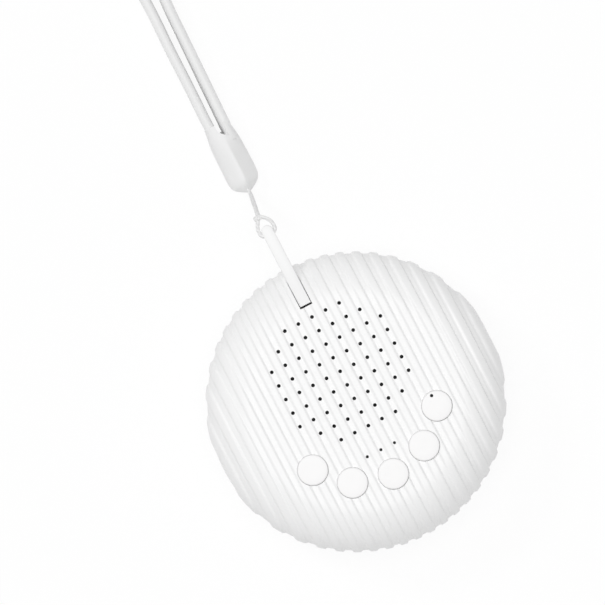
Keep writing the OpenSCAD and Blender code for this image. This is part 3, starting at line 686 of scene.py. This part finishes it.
# Lanyard string. A thin braided nylon cord: out of the moulded end, up to the tab, through the tab's cross
# hole and back down behind itself.
string_points = [
    (0.6, 64.6, 4.8), (0.6, 62.7, 5), (0.55, 61.4, 6.2), (0.4, 60.4, 8.3), (0.25, 59.45, 12.1),
    (0.1, 58.35, 17.1), (-0.05, 57.15, 22.1), (-0.2, 56.1, 26.2), (-0.3, 55, 28.9), (0.6, 54.2, 29.5),
    (1.5, 53.3, 29.5), (2.1, 52.1, 29.5), (2.2, 50.6, 29.5), (1.6, 49.6, 29.5), (0, 49.4, 29.5),
    (-1.6, 49.6, 29.5), (-2.1, 50.7, 29.5), (-1.9, 52.2, 29.5), (-1.3, 53.4, 29.3), (-0.7, 54.3, 28.2),
    (-0.3, 55, 25.9), (-0.1, 56, 21.8), (0.1, 57.25, 16.9), (0.25, 58.35, 11.9), (0.4, 59.4, 7.7),
    (0.55, 60.6, 5), (0.6, 62.5, 3.8), (0.6, 64.6, 3.6),
]
string_d = 1.0 * MM
route_steps = 6


# Smooth curve through chosen points, as the solids of the string and the band follow it
def smooth_route(points, steps):
    points = [Vector(point) * MM for point in points]
    last = len(points) - 1
    route = []
    for i in range(last):
        a, b = points[max(i - 1, 0)], points[i]
        c, d = points[i + 1], points[min(i + 2, last)]
        for s in range(steps):
            t = s / steps
            route.append(0.5 * (2 * b + (c - a) * t + (2 * a - 5 * b + 4 * c - d) * t * t
                                + (3 * b - a - 3 * c + d) * t * t * t))
    route.append(points[last])
    return route


def route_length(route):
    return sum((b - a).length for a, b in zip(route, route[1:]))


def curve_piece(name, route, depth):
    curve = bpy.data.curves.new(name, "CURVE")
    curve.dimensions = "3D"
    curve.twist_mode = "Z_UP"
    curve.bevel_depth = depth
    curve.bevel_resolution = 4
    curve.use_fill_caps = True
    spline = curve.splines.new("POLY")
    spline.points.add(len(route) - 1)
    for point, place in zip(spline.points, route):
        point.co = (*place, 1.0)
    piece = bpy.data.objects.new(name, curve)
    bpy.context.scene.collection.objects.link(piece)
    return piece


def made_mesh(piece):
    pick(piece)
    bpy.ops.object.convert(target="MESH")
    bpy.ops.object.mode_set(mode="EDIT")
    bpy.ops.mesh.select_all(action="SELECT")
    bpy.ops.mesh.remove_doubles(threshold=weld)
    bpy.ops.mesh.normals_make_consistent(inside=False)
    bpy.ops.object.mode_set(mode="OBJECT")
    return bpy.context.object


def braid(name, colour):
    material, shader, place = start_material(name, Roughness=0.7, Sheen_Weight=0.2, Sheen_Roughness=0.5)
    strand_wave = place.node("ShaderNodeTexWave", {"bands_direction": "DIAGONAL"}, Vector=place,
                             Scale=1.0 / (2.2 * MM), Distortion=1.5)
    fuzz = noise(place, 0.2 * MM, 2.0)
    feed(shader, "Base Color", strand_wave.mix(darkened(colour, 0.9), colour))
    feed(shader, "Roughness", 0.6 + fuzz * 0.25)
    feed(shader, "Normal", bump(strand_wave + fuzz * 0.4, 0.12 * MM, 0.7))
    return material


string_path = smooth_route(string_points, route_steps)
string = made_mesh(curve_piece("lanyard_string_braid", string_path, string_d / 2))
string_nylon = braid("string_nylon", (0.9, 0.9, 0.9, 1.0))
dress(string, string_nylon)
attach(string, "strap")
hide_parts("lanyard_string")

# Knot. The string is tied round itself beyond the tab's tip: two turns of the same nylon cord, drawn tight
# one across the other.
knot_at = (-0.7 * MM, 54.6 * MM, 28.7 * MM)
turn_r = 0.72 * MM
turn_cord_r = 0.46 * MM
turns = []
for tilt, sway in ((68, 30), (112, -14)):
    nothing_selected()
    bpy.ops.mesh.primitive_torus_add(major_segments=36, minor_segments=14, major_radius=turn_r,
                                     minor_radius=turn_cord_r, location=knot_at,
                                     rotation=(math.radians(tilt), 0.0, math.radians(sway)))
    turns.append(apply_all(bpy.context.object))
knot = turns[0]
knot.name = "string_knot_turns"
cut_with(knot, turns[1], "UNION")
dress(knot, string_nylon)
smooth(knot, 60)
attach(knot, "strap")
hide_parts("string_knot")

# Wrist band. Soft white silicone, moulded flat, looped back on itself and lying on its edge; both ends are
# moulded into the strap end.
band_points = [
    (-0.95, 76, 3.9), (-1.05, 84, 3.9), (-0.87, 93, 3.9), (-0.78, 105, 3.9), (-0.5, 117, 3.9),
    (-1.1, 129, 3.9), (-3.6, 141, 3.9), (-7.2, 153, 3.9), (-10.4, 165, 3.9), (-12, 177, 3.9),
    (-10.4, 188, 3.9), (-4.6, 196.4, 3.9), (3, 199.6, 3.9), (10.6, 196.4, 3.9), (16.4, 188, 3.9),
    (18, 177, 3.9), (16.2, 165, 3.9), (12.6, 153, 3.9), (8.4, 141, 3.9), (5.5, 129, 3.9),
    (4.15, 117, 3.9), (3.7, 105, 3.9), (3.33, 93, 3.9), (3.07, 84, 3.9), (2.87, 76, 3.9),
]
band_width = 7.4 * MM
band_thickness = 2.76 * MM
band_edge = 1.3 * MM
# The right limb leans a little on the table near the strap end, and both limbs slim down inside it
limb_lean = math.radians(-4.5)
lean_end = 0.128
lean_reach = 0.038
root_share = 0.86
root_y = 78.5 * MM
root_gain = 0.07 / MM
section_points = []
for corner, (sx, sy) in enumerate(((1, 1), (-1, 1), (-1, -1), (1, -1))):
    ring = (sx * (band_thickness / 2 - band_edge), sy * (band_width / 2 - band_edge))
    section_points += arc_points(ring, band_edge, 90 * corner, 90 * corner + 90, 5)
section_curve = bpy.data.curves.new("band_section", "CURVE")
section_curve.dimensions = "2D"
section_spline = section_curve.splines.new("POLY")
section_spline.points.add(len(section_points) - 1)
for point, (x, y) in zip(section_spline.points, section_points):
    point.co = (x, y, 0.0, 1.0)
section_spline.use_cyclic_u = True
section = bpy.data.objects.new("band_section", section_curve)
bpy.context.scene.collection.objects.link(section)
band_path = smooth_route(band_points, route_steps)
band = curve_piece("wrist_band_silicone", band_path, 0.0)
for point in band.data.splines[0].points:
    fade = min(1.0, max(0.0, (lean_end - point.co.y) / lean_reach))
    point.tilt = limb_lean * fade if point.co.x > 0 else 0.0
    point.radius = min(1.0, root_share + root_gain * max(0.0, point.co.y - root_y))
band.data.bevel_mode = "OBJECT"
band.data.bevel_object = section
band = made_mesh(band)
bpy.data.objects.remove(section)


def silicone(name, colour):
    material, shader, place = start_material(name, Roughness=0.5, Sheen_Weight=0.15, Sheen_Roughness=0.4)
    cloud = noise(place, 6 * MM)
    grain = noise(place, 0.12 * MM, 2.0)
    feed(shader, "Base Color", cloud.mix(darkened(colour, 0.965), colour))
    feed(shader, "Roughness", 0.44 + cloud * 0.14)
    feed(shader, "Normal", bump(grain, 0.02 * MM, 0.5))
    return material


strap_silicone = silicone("strap_silicone", (0.86, 0.86, 0.86, 1.0))
dress(band, strap_silicone)
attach(band, "strap")
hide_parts("wrist_band")

# Strap end. A blunt bullet of the same silicone, moulded over the string and both ends of the band, with a
# soft ridge along its top and a notch where the two limbs part.
end_low = 62.0 * MM
end_length = 19.6 * MM
end_half_w = 4.5 * MM
end_half_h = 3.9 * MM
end_x = 0.5 * MM
end_shift = 0.27 * MM
end_drift = 0.1 * MM
ridge_shift = 0.55 * MM
end_edge = 0.3 * MM
# Share of the length from the string's side, and share of the half width there
end_profile = [
    (0.0, 0.08), (0.02, 0.26), (0.045, 0.45), (0.075, 0.64), (0.105, 0.79), (0.14, 0.88), (0.19, 0.94),
    (0.3, 0.965), (0.42, 0.955), (0.56, 0.945), (0.67, 0.935), (0.75, 0.915), (0.82, 0.875), (0.9, 0.82),
    (1.0, 0.77),
]
nothing_selected()
bpy.ops.mesh.primitive_cylinder_add(vertices=64, radius=1.0, depth=1.0, location=(0.0, 0.5, 0.0),
                                    rotation=(math.pi / 2, 0.0, 0.0))
moulding = apply_all(bpy.context.object)
moulding.name = "strap_end_moulding"
bpy.ops.object.mode_set(mode="EDIT")
for share, width in end_profile[1:-1]:
    bpy.ops.mesh.select_all(action="SELECT")
    bpy.ops.mesh.bisect(plane_co=(0.0, share, 0.0), plane_no=(0.0, 1.0, 0.0))
bpy.ops.object.mode_set(mode="OBJECT")
for vertex in moulding.data.vertices:
    share = min(1.0, max(0.0, vertex.co.y))
    width = min(end_profile, key=lambda pair: abs(pair[0] - share))[1]
    side = max(-1.0, min(1.0, vertex.co.x))
    # The faceted, roof-like tip becomes a rounded box towards the band
    square = min(1.0, max(0.0, (share - 0.5) / 0.4))
    square = square * square * (3.0 - 2.0 * square)
    facet = (1.0 - side) ** 0.9 if side > 0.0 else (1.0 - abs(side) ** 1.9) ** 0.62
    roof = facet * (1.0 - square) + (1.0 - abs(side) ** 5) ** 0.34 * square
    rise = math.copysign(roof, vertex.co.z) if abs(vertex.co.z) > 1e-6 else 0.0
    height = min(1.0, width * 1.06 + 0.2 * share)
    middle = end_x + end_shift * min(1.0, share / 0.25) + end_drift * share
    ridge = ridge_shift * (1.0 - abs(side)) * min(1.0, share / 0.15)
    vertex.co = (middle + ridge + side * width * end_half_w, end_low + share * end_length,
                 end_half_h + rise * height * end_half_h)
moulding.data.update()
rounded(moulding, end_edge, 3, 50)

# The notch is a round-ended slot whose right side sweeps over and down towards the tip
notch_x = 0.8 * MM
notch_y = end_low + end_length - 1.6 * MM
notch_length = 4 * MM
notch_top = 9 * MM
notch_half = 0.4 * MM
notch_drift = (1.5 * MM, -2.2 * MM)
notch = block((notch_x - notch_half, notch_y, -MM),
              (notch_x + notch_half, notch_y + notch_length, notch_top))
cut_with(notch, rod(notch_half, -MM, notch_top, (notch_x, notch_y), 32), "UNION")
for vertex in notch.data.vertices:
    across = (vertex.co.x - notch_x + notch_half) / (2 * notch_half)
    weight = across * max(0.0, vertex.co.z) / (2 * end_half_h)
    vertex.co.x += weight * notch_drift[0]
    if vertex.co.y < notch_y + MM:
        vertex.co.y += weight * notch_drift[1]
cut_with(moulding, notch)
dress(moulding, strap_silicone)
smooth(moulding, 50)
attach(moulding, "strap")
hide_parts("strap_end")
route_length(band_path)
route_length(string_path)

# Floor and light. A plain pale floor that runs out of sight, a soft sky that looks white where it is seen,
# and two round lamps: a small one from the upper left and a broad, stronger one from above.
floor_size = 24.0
floor_seen = 0.9
sky_light = 0.46


def seen_directly(start):
    camera_ray = start.node("ShaderNodeLightPath", out="Is Camera Ray")
    glossy_ray = start.node("ShaderNodeLightPath", out="Is Glossy Ray")
    through_ray = start.node("ShaderNodeLightPath", out="Is Transmission Ray")
    return start.math("MAXIMUM", start.math("MAXIMUM", camera_ray, glossy_ray), through_ray)


nothing_selected()
bpy.ops.mesh.primitive_plane_add(size=floor_size, location=(0.0, 0.0, 0.0))
floor = bpy.context.object
floor.name = "studio_floor"
paper_white, paper_shader, place = start_material("studio_paper", Roughness=0.95, Specular_IOR_Level=0.1)
feed(paper_shader, "Base Color", noise(place, 0.4).mix((0.985, 0.985, 0.985, 1.0), (1.0, 1.0, 1.0, 1.0)))
lit = Shade(place.tree, paper_shader.outputs["BSDF"])
glow = place.node("ShaderNodeEmission")
shown = place.node("ShaderNodeMixShader", i0=seen_directly(place) * floor_seen, i1=lit, i2=glow)
feed(place.tree.nodes["Material Output"], "Surface", shown)
dress(floor, paper_white)

world = bpy.data.worlds.new("studio_sky")
world.use_nodes = True
sky = world.node_tree.nodes["Background"]
sky.inputs["Color"].default_value = (1.0, 1.0, 1.0, 1.0)
feed(sky, "Strength", seen_directly(Shade(world.node_tree, None)) * (1.0 - sky_light) + sky_light)
bpy.context.scene.world = world


def lamp(name, place, width, power):
    data = bpy.data.lights.new(name, "AREA")
    data.shape = "DISK"
    data.size = width
    data.energy = power
    made = bpy.data.objects.new(name, data)
    made.location = place
    made.rotation_euler = (-Vector(place)).to_track_quat("-Z", "Y").to_euler()
    bpy.context.scene.collection.objects.link(made)


lamp("key_lamp", (-0.65, 1.04, 1.5), 0.4, 4.8)
lamp("top_lamp", (-0.05, 0.1, 2.2), 1.0, 19.2)
bpy.context.scene.view_settings.view_transform = "Standard"
